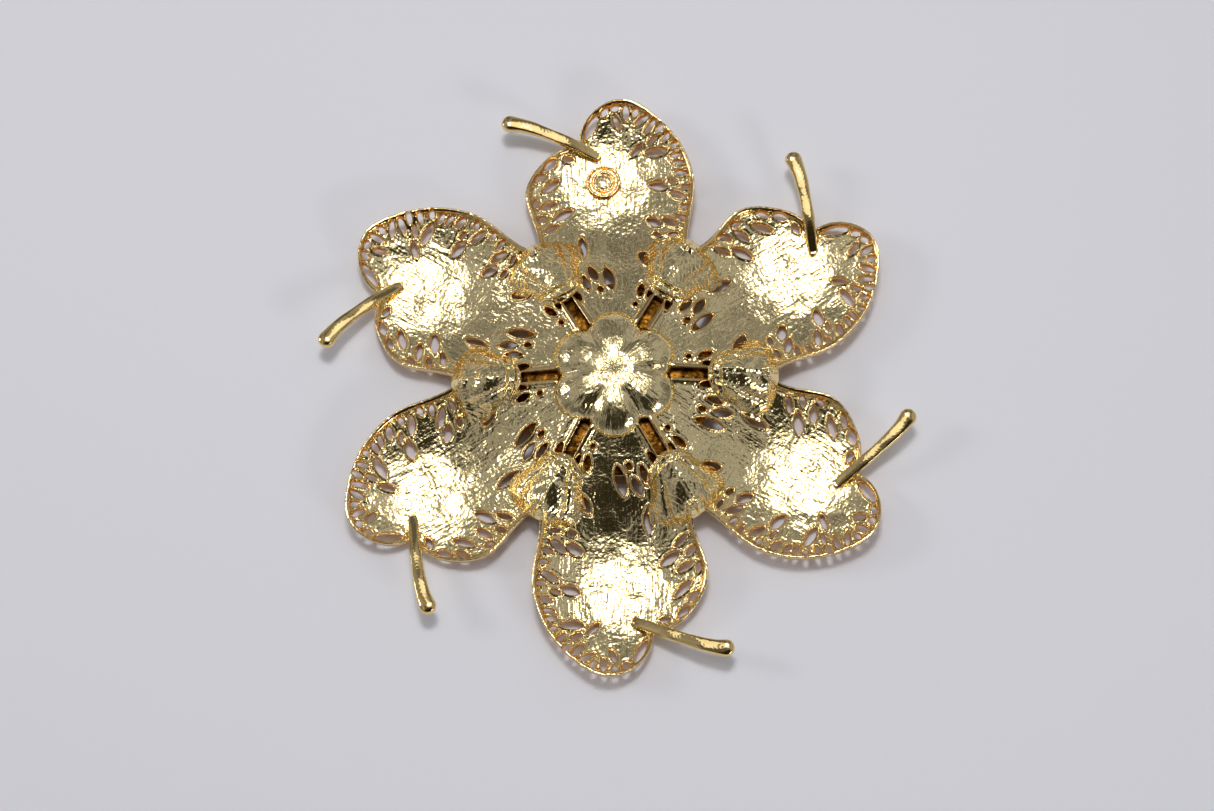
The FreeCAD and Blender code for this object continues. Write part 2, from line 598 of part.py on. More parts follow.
# ---------------------------------------------------------------- pin and catch
def make_bar():
    """Flat bar with round ends, riveted under the hub plate."""
    body = doc.addObject("PartDesign::Body", "pin_bar")
    blank = body_sketch(body, "bar_outline")
    half, wide = "bar_half - bar_width / 2", "bar_width / 2"
    middle, edge = value_of(half), value_of(wide)
    right = Part.ArcOfCircle(Part.Circle(Vector(middle, 0, 0), Vector(0, 0, 1), edge),
                             -QUARTER, QUARTER)
    left = Part.ArcOfCircle(Part.Circle(Vector(-middle, 0, 0), Vector(0, 0, 1), edge),
                            QUARTER, 3 * QUARTER)
    top = Part.LineSegment(Vector(middle, edge, 0), Vector(-middle, edge, 0))
    bottom = Part.LineSegment(Vector(-middle, -edge, 0), Vector(middle, -edge, 0))
    for curve in (right, top, left, bottom):
        blank.addGeometry(curve, False)
    for a in range(4):
        blank.addConstraint(Sketcher.Constraint("Tangent", a, 2, (a + 1) % 4, 1))
    blank.addConstraint(Sketcher.Constraint("Symmetric", 0, 3, 2, 3, -1, 1))
    blank.addConstraint(Sketcher.Constraint("Horizontal", 1))
    for constraint, expression in (
            (Sketcher.Constraint("Radius", 0, edge), wide),
            (Sketcher.Constraint("DistanceX", -1, 1, 0, 3, middle), half)):
        bind(blank, "Constraints[%d]" % blank.addConstraint(constraint), expression)
    pad(body, blank, "bar_pad", "bar_wall")
    holes = body_sketch(body, "bar_holes")
    draw_circle(holes, "-rivet_place", "0", "rivet_radius")
    draw_circle(holes, "rivet_place", "0", "rivet_radius")
    pocket_through(body, holes, "bar_cut")
    place(body, y="pin_offset", z=BAR_UNDER)
    return body


def make_bar_rivet(label, sign):
    """Rivet through the bar and the hub plate."""
    body = turned_body(label, [
        ("0", "0"), ("rivet_head - 0.2", "0"), ("rivet_head", "0.2"),
        ("rivet_head", "rivet_rise"), ("rivet_radius", "rivet_rise"),
        ("rivet_radius", "rivet_rise + bar_wall + hub_wall"),
        ("0", "rivet_rise + bar_wall + hub_wall")])
    place(body, x="%d * rivet_place" % sign, y="pin_offset", z=BAR_UNDER + " - rivet_rise")
    return body


def make_hinge_bracket():
    """Two ears on a base under the bar, drilled across for the hinge rivet."""
    body = doc.addObject("PartDesign::Body", "hinge_bracket")
    gap = "knuckle_width / 2 + side_play"
    block = body_sketch(body, "bracket_block", "XZ_Plane")
    draw_polygon(block, [("-ear_radius", "0"), ("ear_radius", "0"),
                         ("ear_radius", "pin_drop"), ("-ear_radius", "pin_drop")])
    pad(body, block, "bracket_pad", "2 * (%s + ear_wall)" % gap, midplane=True)
    round_end = body_sketch(body, "ear_round", "XZ_Plane")
    draw_circle(round_end, "0", "0", "ear_radius")
    pad(body, round_end, "ear_pad", "2 * (%s + ear_wall)" % gap, midplane=True)
    mouth = body_sketch(body, "ear_gap", "YZ_Plane")
    draw_polygon(mouth, [("-(%s)" % gap, "-2 * ear_radius"), (gap, "-2 * ear_radius"),
                         (gap, "pin_drop - ear_base"), ("-(%s)" % gap, "pin_drop - ear_base")])
    pocket_through(body, mouth, "ear_cut")
    bore = body_sketch(body, "ear_bore", "XZ_Plane")
    draw_circle(bore, "0", "0", "axle_radius")
    pocket_through(body, bore, "bore_cut")
    place(body, x="-hinge_place", y="pin_offset", z=PIN_LINE)
    return body


def make_hinge_rivet():
    """Rivet across the ears, with a low head at each end."""
    reach = "(knuckle_width / 2 + side_play + ear_wall)"
    head, rise = "(axle_radius + 0.3)", "0.25"
    body = turned_body("hinge_rivet", [
        ("0", "-%s - %s" % (reach, rise)), (head, "-%s - %s" % (reach, rise)),
        (head, "-" + reach), ("axle_radius", "-" + reach), ("axle_radius", reach),
        (head, reach), (head, "%s + %s" % (reach, rise)), ("0", "%s + %s" % (reach, rise))])
    body.Placement.Rotation = Rotation(Vector(1, 0, 0), 90)
    place(body, x="-hinge_place", y="pin_offset", z=PIN_LINE)
    return body


def make_pin_stem():
    """Sharp pin with a drilled knuckle, lying along +X when it is shut."""
    body = doc.addObject("PartDesign::Body", "pin_stem")
    tip = "(hinge_place + catch_place + tip_past)"
    section = body_sketch(body, "pin_section", "XZ_Plane")
    draw_polygon(section, [("0", "0"), (tip, "0"), (tip, "0.06"),
                           (tip + " - tip_length", "pin_radius"), ("0", "pin_radius")])
    shaft = body.newObject("PartDesign::Revolution", "pin_shaft")
    shaft.Profile = section
    shaft.ReferenceAxis = (section, ["H_Axis"])
    shaft.Angle = 360.0
    knuckle = body_sketch(body, "knuckle_round", "XZ_Plane")
    draw_circle(knuckle, "0", "0", "knuckle_radius")
    pad(body, knuckle, "knuckle_pad", "knuckle_width", midplane=True)
    bore = body_sketch(body, "knuckle_bore", "XZ_Plane")
    draw_circle(bore, "0", "0", "axle_radius + running_fit")
    pocket_through(body, bore, "knuckle_cut")
    place(body, x="-hinge_place", y="pin_offset", z=PIN_LINE)
    return body


def make_catch_base():
    """Round body with an open mouth below, on a foot under the bar."""
    body = doc.addObject("PartDesign::Body", "catch_base")
    bore = "rotor_radius + running_fit"
    mouth = "pin_radius + slot_play"
    ring = body_sketch(body, "catch_ring", "YZ_Plane")
    draw_circle(ring, "0", "0", "catch_radius")
    pad(body, ring, "ring_pad", "catch_length", midplane=True)
    foot = body_sketch(body, "catch_foot", "YZ_Plane")
    draw_polygon(foot, [("-rotor_radius", "0"), ("rotor_radius", "0"),
                        ("rotor_radius", "pin_drop"), ("-rotor_radius", "pin_drop")])
    pad(body, foot, "foot_pad", "catch_length", midplane=True)
    hole = body_sketch(body, "catch_bore", "YZ_Plane")
    draw_circle(hole, "0", "0", bore)
    pocket_through(body, hole, "catch_bore_cut")
    slot = body_sketch(body, "catch_mouth", "YZ_Plane")
    draw_polygon(slot, [("-(%s)" % mouth, "-2 * catch_radius"), (mouth, "-2 * catch_radius"),
                        (mouth, "0"), ("-(%s)" % mouth, "0")])
    pocket_through(body, slot, "catch_mouth_cut")
    place(body, x="catch_place", y="pin_offset", z=PIN_LINE)
    return body


def make_catch_rotor():
    """Slotted barrel that turns round the pin, with end discs and a lever."""
    body = doc.addObject("PartDesign::Body", "catch_rotor")
    end = "(catch_length / 2 + running_fit)"
    section = body_sketch(body, "rotor_section", "XZ_Plane")
    draw_polygon(section, [
        ("-%s - flange_wall" % end, "0"), ("%s + flange_wall" % end, "0"),
        ("%s + flange_wall" % end, "flange_radius"), (end, "flange_radius"),
        (end, "rotor_radius"), ("-" + end, "rotor_radius"), ("-" + end, "flange_radius"),
        ("-%s - flange_wall" % end, "flange_radius")])
    barrel = body.newObject("PartDesign::Revolution", "rotor_barrel")
    barrel.Profile = section
    barrel.ReferenceAxis = (section, ["H_Axis"])
    barrel.Angle = 360.0
    lever = body_sketch(body, "rotor_lever", "XZ_Plane")
    draw_polygon(lever, [(end, "-lever_width / 2"), ("%s + flange_wall" % end, "-lever_width / 2"),
                         ("%s + flange_wall" % end, "lever_width / 2"),
                         (end, "lever_width / 2")])
    pad(body, lever, "lever_pad", "lever_reach", reverse=True)
    slot = body_sketch(body, "rotor_slot", "YZ_Plane")
    half = "pin_radius + slot_play"
    draw_polygon(slot, [("-(%s)" % half, "-2 * catch_radius"), (half, "-2 * catch_radius"),
                        (half, "0"), ("-(%s)" % half, "0")])
    pocket_through(body, slot, "rotor_slot_cut")
    round_seat = body_sketch(body, "rotor_seat", "YZ_Plane")
    draw_circle(round_seat, "0", "0", half)
    pocket_through(body, round_seat, "rotor_seat_cut")
    place(body, x="catch_place", y="pin_offset", z=PIN_LINE)
    return body


# ---------------------------------------------------------------- build
leaf, leaf_blank = make_leaf()
keep_ring(leaf, "leaf")
keep_ring(make_stem(leaf_blank), "stem")
keep_ring(make_bridge(), "bridge")
keep(make_dome(), "centre_dome")
keep(make_badge(leaf_blank), "leaf_badge")
keep(make_hub_plate(), "hub_plate")
keep(make_post(), "centre_post")
keep(make_bar(), "pin_bar")
keep(make_bar_rivet("bar_rivet_left", -1), "bar_rivet_left")
keep(make_bar_rivet("bar_rivet_right", 1), "bar_rivet_right")
keep(make_hinge_bracket(), "hinge_bracket")
keep(make_hinge_rivet(), "hinge_rivet")
keep(make_pin_stem(), "pin_stem")
keep(make_catch_base(), "catch_base")
keep(make_catch_rotor(), "catch_rotor")
doc.recompute()

for item in doc.Objects:
    if "Invalid" in item.State or "Error" in item.State:
        raise RuntimeError("%s failed: %s" % (item.Name, item.getStatusString()))
os.makedirs("parts", exist_ok=True)
for part in parts:
    if part.Shape.isNull() or not part.Shape.isValid() or not part.Shape.Solids:
        raise RuntimeError(part.Label + " is not a valid solid")
for part in parts:
    part.Shape.exportStep("parts/%s.step" % part.Label)
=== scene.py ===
"""Looks of an open-work flower brooch in gilt brass: cast surfaces, finishes, stage, camera.

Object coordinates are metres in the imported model's frame. Sizes named here are millimetres,
and a casting is worked in millimetres before it is set back to metres.
"""
import math
import bmesh
import bpy
import numpy as np
from bpy.props import FloatProperty, FloatVectorProperty, PointerProperty
from mathutils import Matrix, Vector
from mathutils.kdtree import KDTree


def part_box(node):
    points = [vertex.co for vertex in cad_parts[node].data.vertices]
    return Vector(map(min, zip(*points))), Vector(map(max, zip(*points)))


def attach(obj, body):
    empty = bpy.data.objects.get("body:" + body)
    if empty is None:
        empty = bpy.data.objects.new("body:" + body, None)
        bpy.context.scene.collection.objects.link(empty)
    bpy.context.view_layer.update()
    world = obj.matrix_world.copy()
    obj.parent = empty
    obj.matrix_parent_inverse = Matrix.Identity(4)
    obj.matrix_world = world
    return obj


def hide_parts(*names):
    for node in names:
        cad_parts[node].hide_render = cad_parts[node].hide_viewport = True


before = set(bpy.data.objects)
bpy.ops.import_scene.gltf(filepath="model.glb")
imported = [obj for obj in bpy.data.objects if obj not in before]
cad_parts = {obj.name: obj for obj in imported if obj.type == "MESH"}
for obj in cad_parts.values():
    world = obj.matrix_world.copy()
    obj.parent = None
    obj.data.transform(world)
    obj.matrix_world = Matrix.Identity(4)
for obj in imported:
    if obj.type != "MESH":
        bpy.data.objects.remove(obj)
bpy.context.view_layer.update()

bl_info = {
    "name": "Open-work flower brooch",
    "version": (1, 0, 0),
    "blender": (4, 5, 0),
    "location": "3D View > Sidebar > Brooch",
    "description": "Finishes the pieces of a gilt flower brooch and sets it on a stage",
    "category": "Object",
}

MM = 0.001
LEAVES = 6
SECTOR = math.tau / LEAVES
FLOWER = "flower"
CATCH = "catch"

# The fittings of the back that keep their CAD shape with worn edges: each node and its piece.
FITTINGS = {
    "centre_post": "post_turned",
    "pin_bar": "bar_strip",
    "bar_rivet_left": "rivet_left",
    "bar_rivet_right": "rivet_right",
    "hinge_bracket": "hinge_fork",
    "hinge_rivet": "hinge_pin",
    "catch_base": "catch_seat",
    "catch_rotor": "catch_hook",
}

# The lamps: place, width and depth in millimetres, then power in watts.
LAMPS = {
    "key_light": ((10, 160, 640), 128, 108, 1.15),
    "halo_light": ((10, 160, 660), 430, 400, 0.5),
    "left_light": ((-560, 120, 330), 160, 140, 0.5),
    "front_light": ((420, -460, 280), 200, 90, 0.6),
}


# ---------------------------------------------------------------- colours and nodes
def linear(colour):
    """An sRGB hex colour as linear RGBA."""
    channels = [int(colour[i:i + 2], 16) / 255 for i in (1, 3, 5)]
    light = [c / 12.92 if c <= 0.04045 else ((c + 0.055) / 1.055) ** 2.4 for c in channels]
    return light + [1.0]


def colour_prop(name, description, colour):
    """A colour property whose default is a hex colour."""
    return FloatVectorProperty(name=name, description=description, subtype="COLOR", size=4,
                               min=0.0, max=1.0, default=linear(colour))


def length_prop(name, description, millimetres):
    """A length property whose default is given in millimetres."""
    return FloatProperty(name=name, description=description, subtype="DISTANCE", unit="LENGTH",
                         precision=6, default=millimetres * MM)


def add_node(tree, kind, inputs=None, links=None, **settings):
    """Add a shader node with its settings, its input values and the sockets that feed it."""
    made = tree.nodes.new("ShaderNode" + kind)
    for name, value in settings.items():
        setattr(made, name, value)
    for name, value in (inputs or {}).items():
        made.inputs[name].default_value = value
    for name, socket in (links or {}).items():
        tree.links.new(socket, made.inputs[name])
    return made


def remap(tree, value, before, after=(0.0, 1.0), **settings):
    """A socket's value with one range brought to another."""
    ends = {"From Min": before[0], "From Max": before[1], "To Min": after[0], "To Max": after[1]}
    return add_node(tree, "MapRange", ends, {"Value": value}, **settings).outputs[0]


def blend(tree, share, first, second):
    """A colour that goes from the first to the second as the share goes from 0 to 1.

    The Mix node's sockets share their names between its kinds, so they go by number.
    """
    mix = add_node(tree, "Mix", {6: first, 7: second}, {0: share}, data_type="RGBA")
    return mix.outputs[2]


def new_material(name):
    """An empty node material, and its node tree."""
    material = bpy.data.materials.new(name)
    material.use_nodes = True
    tree = material.node_tree
    tree.nodes.clear()
    return material, tree


def surface(tree, inputs, links):
    """Join a surface shader, with its input values and links, to the material's output."""
    shader = add_node(tree, "BsdfPrincipled", inputs, links)
    add_node(tree, "OutputMaterial", links={"Surface": shader.outputs[0]})


# ---------------------------------------------------------------- settings
class BroochFinish(bpy.types.PropertyGroup):
    """Colours and grain of the metals."""
    gilt_pale: colour_prop("Pale gilt", "Pale gold plate on open surfaces", "#F8E5AE")
    # Deep gilt is a real warmer tone on rubbed rods, lips and rims, and also painted bounce light,
    # gold reflected on gold, in slits, on undersides and on steep slopes.
    gilt_deep: colour_prop("Deep gilt", "Warmer gold in cuts and hollows", "#EBA32E")
    gilt_bright: colour_prop("Bright gilt", "Gold plate on polished rods and beads", "#F4D896")
    # The two hollow colours are painted shade for the plate under the leaves, mottled at random
    # from one to the other.
    hollow_warm: colour_prop("Warm hollow", "Unrubbed plate under the leaves", "#8E5E1E")
    hollow_dark: colour_prop("Dark hollow", "Tarnish on that plate", "#2E1C08")
    steel: colour_prop("Steel", "Spring steel of the pin", "#C9C8C4")
    grain_width: length_prop("Grain width", "Width of one drawn line of the grain", 0.42)
    fleck_size: length_prop("Fleck size", "Size of one cast fleck", 0.66)
    fleck_depth: length_prop("Fleck depth", "Height of a fleck over its hollow", 0.15)


class BroochCasting(bpy.types.PropertyGroup):
    """Sizes of the cast surfaces."""
    leaf_detail: length_prop("Leaf detail", "Mesh size of a leaf", 0.16)
    small_detail: length_prop("Small detail", "Mesh size of the small pieces", 0.11)
    lip_height: length_prop("Lip height", "Height of the wire-like lip round a slit", 0.27)
    lip_width: length_prop("Lip width", "Width of that lip", 0.38)
    dent_depth: length_prop("Dent depth", "Depth of the shallow hammer dents", 0.07)


class BroochStage(bpy.types.PropertyGroup):
    """Floor, lights and camera."""
    floor_colour: colour_prop("Floor", "Pale lilac grey paper", "#F4F4FA")
    floor_width: length_prop("Floor width", "Side of the square floor", 3000.0)
    camera_distance: length_prop("Camera distance", "Camera to what it looks at", 388.8)
    camera_tilt: FloatProperty(name="Camera tilt", description="Lean away from straight above",
                               subtype="ANGLE", unit="ROTATION", default=math.radians(15.73))
    camera_roll: FloatProperty(name="Camera roll", description="Turn of the picture",
                               subtype="ANGLE", unit="ROTATION", default=math.radians(-7.645))
    camera_turn: FloatProperty(name="Camera turn", description="Turn round the flower's axis",
                               subtype="ANGLE", unit="ROTATION", default=math.radians(6.7))
    lens: FloatProperty(name="Lens", description="Focal length", subtype="DISTANCE_CAMERA",
                        unit="CAMERA", default=74.1)


# ---------------------------------------------------------------- mesh helpers
WELD = 0.0005               # CAD corners closer than this, in millimetres, are one
FLAT_FACE = 0.9             # a disc's flat faces have normals more upright than this
GRAIN_SHIFT = 13.0          # how far one copy's grain lies from the next one's


def only(obj):
    """Make one object the only one selected, and active."""
    bpy.ops.object.select_all(action="DESELECT")
    obj.select_set(True)
    bpy.context.view_layer.objects.active = obj


def apply_modifier(obj, kind, **settings):
    """Add a modifier with its settings and apply it at once."""
    only(obj)
    modifier = obj.modifiers.new(kind.lower(), kind)
    for name, value in settings.items():
        setattr(modifier, name, value)
    bpy.ops.object.modifier_apply(modifier=modifier.name)


def node_copy(node, name):
    """A merged copy of a CAD node's mesh as a new piece, in millimetres."""
    obj = bpy.data.objects.new(name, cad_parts[node].data.copy())
    obj.data.materials.clear()
    bpy.context.scene.collection.objects.link(obj)
    obj.data.transform(Matrix.Scale(1 / MM, 4))
    only(obj)
    bpy.ops.object.mode_set(mode="EDIT")
    bpy.ops.mesh.select_all(action="SELECT")
    bpy.ops.mesh.remove_doubles(threshold=WELD)
    bpy.ops.object.mode_set(mode="OBJECT")
    return obj


def disc(name, radius, spot, bottom, top):
    """An upright disc as a new piece, in millimetres, round a spot in plan."""
    bpy.ops.object.select_all(action="DESELECT")
    bpy.ops.mesh.primitive_cylinder_add(vertices=96, radius=radius, depth=top - bottom,
                                        location=(*spot, (bottom + top) / 2))
    made = bpy.context.object
    made.name = name
    bpy.ops.object.transform_apply(location=True, rotation=True, scale=True)
    return made


def inset_faces(obj, chosen, steps):
    """Inset an object's chosen faces over and over, each step by a width and a rise."""
    only(obj)
    bpy.ops.object.mode_set(mode="EDIT")
    bpy.ops.mesh.select_mode(type="FACE")
    bpy.ops.mesh.select_all(action="DESELECT")
    bpy.ops.object.mode_set(mode="OBJECT")
    for face in obj.data.polygons:
        face.select = chosen(face.normal)
    bpy.ops.object.mode_set(mode="EDIT")
    for width, rise in steps:
        bpy.ops.mesh.inset(thickness=width, depth=rise)
    bpy.ops.object.mode_set(mode="OBJECT")


def cast(obj, detail, rounding):
    """Give a piece a cast skin: an even mesh whose sharp edges are rounded off."""
    apply_modifier(obj, "REMESH", mode="VOXEL", voxel_size=detail / MM)
    apply_modifier(obj, "SMOOTH", factor=0.5, iterations=rounding)


def read_points(mesh):
    """A mesh's vertex positions and normals as arrays."""
    places = np.empty(len(mesh.vertices) * 3)
    normals = np.empty(len(mesh.vertices) * 3)
    mesh.vertices.foreach_get("co", places)
    mesh.vertices.foreach_get("normal", normals)
    return places.reshape(-1, 3), normals.reshape(-1, 3)


def write_points(mesh, places):
    """Set a mesh's vertex positions."""
    mesh.vertices.foreach_set("co", places.ravel())
    mesh.update()


def store(mesh, name, values):
    """Keep a number or a vector for each vertex as an attribute."""
    flat = values.ndim == 1
    kind, field = ("FLOAT", "value") if flat else ("FLOAT_VECTOR", "vector")
    attribute = mesh.attributes.new(name, kind, "POINT")
    attribute.data.foreach_set(field, values.astype(np.float32).ravel())


def ridge(distance, middle, spread):
    """A rounded ridge, 1 high at the middle and all but gone 2 spreads away from it."""
    return np.exp(-((distance - middle) / spread) ** 2)


def ramp(distance, start, length):
    """0 up to the start, then rising evenly to 1 over the length."""
    return np.clip((distance - start) / length, 0, 1)


def ripple(places, wave, seed):
    """A smooth wavy field of about -1 to 1 over points, from five sine waves.

    Each wave runs another way and is a little longer than the last, so that none shows.
    """
    field = np.zeros(len(places))
    for turn in range(5):
        angle = seed + turn * 2.4
        heading = np.array([math.cos(angle), math.sin(angle), 0.35 * math.sin(3 * angle)])
        field += np.sin(places @ heading * math.tau / (wave * (1 + 0.17 * turn)) + 1.7 * turn)
    return field / 3


def settle(obj, body, slot, material, *nodes):
    """Set a finished casting back to metres, ride it on its body and put it in for its nodes."""
    obj.data.transform(Matrix.Scale(MM, 4))
    obj.data.materials.append(material)
    only(obj)
    bpy.ops.object.shade_smooth()
    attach(obj, body)
    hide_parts(*nodes)


def ring_copies(first, family, piece):
    """Copies of a finished first piece round the flower, clockwise, each with its own mesh.

    Each copy shows another part of the same grain.
    """
    for index in range(1, LEAVES):
        mesh = first.data.copy()
        mesh.transform(Matrix.Rotation(-SECTOR * index, 4, "Z"))
        grain = mesh.attributes.get("grain")
        if grain:
            values = np.empty(len(mesh.vertices) * 3, dtype=np.float32)
            grain.data.foreach_get("vector", values)
            values[2::3] += GRAIN_SHIFT * index
            grain.data.foreach_set("vector", values)
        obj = bpy.data.objects.new("%s_%d" % (piece, index + 1), mesh)
        bpy.context.scene.collection.objects.link(obj)
        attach(obj, FLOWER)
        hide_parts("%s_%d" % (family, index + 1))


# ---------------------------------------------------------------- metals
def grain_bump(tree, place, settings, strength):
    """Height of the cast flecks and the drawn grain, as a normal.

    The real grain is too fine to show when the whole brooch is seen, so its flecks and lines
    are drawn as coarse as they need to be to show.
    """
    fleck = settings.fleck_size / MM
    line = settings.grain_width / MM
    stretch = 0.09
    line_share = 0.6
    flecks = add_node(tree, "TexNoise", {"Scale": 1 / fleck, "Detail": 2.0, "Roughness": 0.5},
                      {"Vector": place})
    stretched = add_node(tree, "Mapping", {"Scale": (1 / line, stretch / line, 1.0)},
                         {"Vector": place}, vector_type="POINT")
    lines = add_node(tree, "TexNoise", {"Scale": 1.0, "Detail": 1.0, "Roughness": 0.5},
                     {"Vector": stretched.outputs[0]})
    height = add_node(tree, "Math", {1: line_share},
                      {0: lines.outputs[0], 2: flecks.outputs[0]}, operation="MULTIPLY_ADD")
    return add_node(tree, "Bump", {"Distance": settings.fleck_depth},
                    {"Height": height.outputs[0], "Strength": strength})


def gilt_satin(settings):
    """Brass cast in a fine mould, then gold plated.

    The open field keeps the mould's drawn grain and flecks, so that it glitters where a light
    just catches it. Lips and rims are rubbed bright. Deep gold is painted in the slits, on
    undersides and on steep slopes as painted bounce light, gold reflected on gold, and as a
    warmer tone on lips and rims.
    """
    material, tree = new_material("gilt_satin")
    place = add_node(tree, "Attribute", attribute_name="grain").outputs["Vector"]
    bright = add_node(tree, "Attribute", attribute_name="bright").outputs["Fac"]
    bounce_and_warmth = add_node(tree, "Attribute", attribute_name="bounce_and_warmth").outputs["Fac"]
    strength = remap(tree, bright, (0.0, 1.0), (1.0, 0.25))
    bump = grain_bump(tree, place, settings, strength)
    cloud = add_node(tree, "TexNoise", {"Scale": 0.35, "Detail": 3.0}, {"Vector": place})
    field = remap(tree, cloud.outputs[0], (0.3, 0.7), (0.10, 0.22))
    rubbed = 0.11
    rough = add_node(tree, "Mix", {3: rubbed}, {0: bright, 2: field}, data_type="FLOAT")
    # Deep gold by the stored share: painted bounce light in slits and under things, and a warmer
    # tone on lips and rims.
    colour = blend(tree, bounce_and_warmth, settings.gilt_pale, settings.gilt_deep)
    surface(tree, {"Metallic": 1.0}, {"Base Color": colour, "Roughness": rough.outputs[0],
                                      "Normal": bump.outputs[0]})
    return material


def gilt_rubbed(settings):
    """Gold plate on rods rubbed bright by hand: clear reflections with faint waves."""
    material, tree = new_material("gilt_rubbed")
    place = add_node(tree, "TexCoord").outputs["Object"]
    waves = add_node(tree, "TexNoise", {"Scale": 0.9 / MM, "Detail": 2.0}, {"Vector": place})
    bump = add_node(tree, "Bump", {"Distance": 0.03 * MM, "Strength": 0.6},
                    {"Height": waves.outputs[0]})
    rough = remap(tree, waves.outputs[0], (0.35, 0.65), (0.03, 0.08))
    warmth = remap(tree, waves.outputs[0], (0.55, 0.8), (0.0, 0.4))
    colour = blend(tree, warmth, settings.gilt_bright, settings.gilt_deep)
    surface(tree, {"Metallic": 1.0}, {"Base Color": colour, "Roughness": rough,
                                      "Normal": bump.outputs[0]})
    return material


def gilt_shaded(settings):
    """Gold plate in the hollow under the leaves, with its shade painted in as a dark warm brown,
    mottled at random, and dull.
    """
    material, tree = new_material("gilt_shaded")
    place = add_node(tree, "TexCoord").outputs["Object"]
    grit = add_node(tree, "TexNoise", {"Scale": 0.8 / MM, "Detail": 3.0}, {"Vector": place})
    bump = add_node(tree, "Bump", {"Distance": 0.3 * MM}, {"Height": grit.outputs[0]})
    tone = remap(tree, grit.outputs[0], (0.35, 0.65))
    # Painted shade: two dark browns, mottled at random.
    colour = blend(tree, tone, settings.hollow_warm, settings.hollow_dark)
    surface(tree, {"Metallic": 1.0, "Roughness": 0.35},
            {"Base Color": colour, "Normal": bump.outputs[0]})
    return material


def spring_steel(settings):
    """Drawn spring steel: a cooler grey with fine lines along the wire."""
    material, tree = new_material("spring_steel")
    place = add_node(tree, "TexCoord").outputs["Object"]
    along = add_node(tree, "Mapping", {"Scale": (0.6 / MM, 9 / MM, 9 / MM)}, {"Vector": place})
    lines = add_node(tree, "TexNoise", {"Scale": 1.0, "Detail": 3.0}, {"Vector": along.outputs[0]})
    bump = add_node(tree, "Bump", {"Distance": 0.004 * MM}, {"Height": lines.outputs[0]})
    rough = remap(tree, lines.outputs[0], (0.0, 1.0), (0.14, 0.3))
    surface(tree, {"Metallic": 1.0, "Base Color": settings.steel},
            {"Roughness": rough, "Normal": bump.outputs[0]})
    return material


def floor_paper(settings):
    """Matt coated paper: plain and pale, with a faint tooth."""
    material, tree = new_material("floor_paper")
    place = add_node(tree, "TexCoord").outputs["Object"]
    tooth = add_node(tree, "TexNoise", {"Scale": 1.5 / MM, "Detail": 2.0}, {"Vector": place})
    bump = add_node(tree, "Bump", {"Distance": 0.01 * MM}, {"Height": tooth.outputs[0]})
    surface(tree, {"Base Color": settings.floor_colour, "Roughness": 0.6},
            {"Normal": bump.outputs[0]})
    return material


def material_of(maker, settings):
    """A material by its maker's name, made once."""
    return bpy.data.materials.get(maker.__name__) or maker(settings)


# ---------------------------------------------------------------- leaves
def wall_lines(mesh):
    """Points along a leaf's upright walls, in plan: its slits' walls, and its outline's.

    A wall taller than the rim goes right through the leaf. The largest group of walls that
    hang together is the outline.
    """
    tallest_rim, upright, spacing = 0.6, 0.12, 0.05
    work = bmesh.new()
    work.from_mesh(mesh)
    walls = set()
    for face in work.faces:
        heights = [v.co.z for v in face.verts]
        if abs(face.normal.z) < upright and max(heights) - min(heights) > tallest_rim:
            walls.add(face)
    groups = []
    while walls:
        stack, group = [walls.pop()], []
        while stack:
            face = stack.pop()
            group.append(face)
            for vert in face.verts:
                for other in vert.link_faces:
                    if other in walls:
                        walls.remove(other)
                        stack.append(other)
        groups.append(group)
    lines = []
    for group in sorted(groups, key=len, reverse=True):
        points = []
        for face in group:
            for edge in face.edges:
                a, b = (Vector((v.co.x, v.co.y, 0)) for v in edge.verts)
                steps = max(1, int((b - a).length / spacing))
                points += [a.lerp(b, i / steps) for i in range(steps)]
        lines.append(points)
    work.free()
    return [p for points in lines[1:] for p in points], lines[0]


def plan_distance(places, targets):
    """Distance in plan from each place to the nearest target."""
    tree = KDTree(len(targets))
    for index, point in enumerate(targets):
        tree.insert(point, index)
    tree.balance()
    return np.array([tree.find((x, y, 0))[2] for x, y in places[:, :2]])


def neck_slope(places):
    """Rise of leaf_1's neck over its level CAD shape, so that it falls all the way outwards.

    The CAD neck climbs steeply away from the belly, and turns level at its bend, a circle about
    the belly. Here it eases to a gentle slope a little before that, so that it is lower there,
    and goes on rising until it is under the dome. soft and crisp are how far each turn is
    rounded.
    """
    belly, bend = (-1.0, 32.0), 19.148
    steep, gentle = math.tan(math.radians(26)), math.tan(math.radians(18))
    before, soft, crisp, most = 3.9, 0.8, 0.11, 0.9
    run = np.hypot(places[:, 0] - belly[0], places[:, 1] - belly[1])
    softly = soft * np.logaddexp(0, (run - bend + before) / soft)
    crisply = crisp * np.logaddexp(0, (run - bend) / crisp)
    lift = steep * crisply - (steep - gentle) * softly
    return np.minimum(lift, most)


